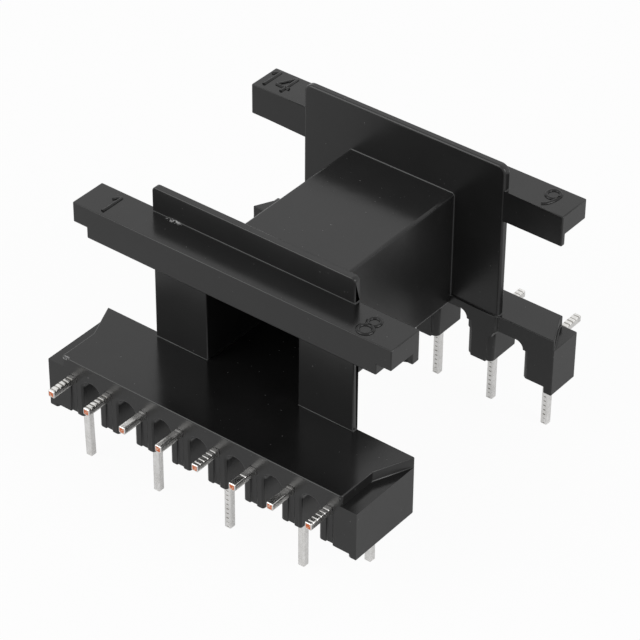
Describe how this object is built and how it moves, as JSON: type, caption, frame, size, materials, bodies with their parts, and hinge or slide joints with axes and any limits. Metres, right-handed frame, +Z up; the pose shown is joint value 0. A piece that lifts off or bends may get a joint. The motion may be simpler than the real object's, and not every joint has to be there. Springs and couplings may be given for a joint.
{
  "type": "transformer bobbin",
  "caption": "Through-hole coil former for a pair of E cores: a rectangular winding tube between flanges, on two pin blocks with bent square pins.",
  "frame": {"origin": "under the middle of the part, on the plane of the pin tips", "axes": "+X along the pin rows from pin 1 to pin 8, +Y along the winding tube from the block with eight pins to the block with six, +Z up"},
  "size_m": [0.0428, 0.0476, 0.034],
  "materials": {
    "black_plastic": "satin moulded black plastic",
    "tinned_wire": "bright tinned wire, cut ends of bare copper"
  },
  "bodies": {
    "root": {"bobbin_body": "black_plastic", "pin_1": "tinned_wire", "pin_2": "tinned_wire", "pin_3": "tinned_wire", "pin_4": "tinned_wire", "pin_5": "tinned_wire", "pin_6": "tinned_wire", "pin_7": "tinned_wire", "pin_8": "tinned_wire", "pin_9": "tinned_wire", "pin_10": "tinned_wire", "pin_11": "tinned_wire", "pin_12": "tinned_wire", "pin_13": "tinned_wire", "pin_14": "tinned_wire"}
  },
  "joints": []
}
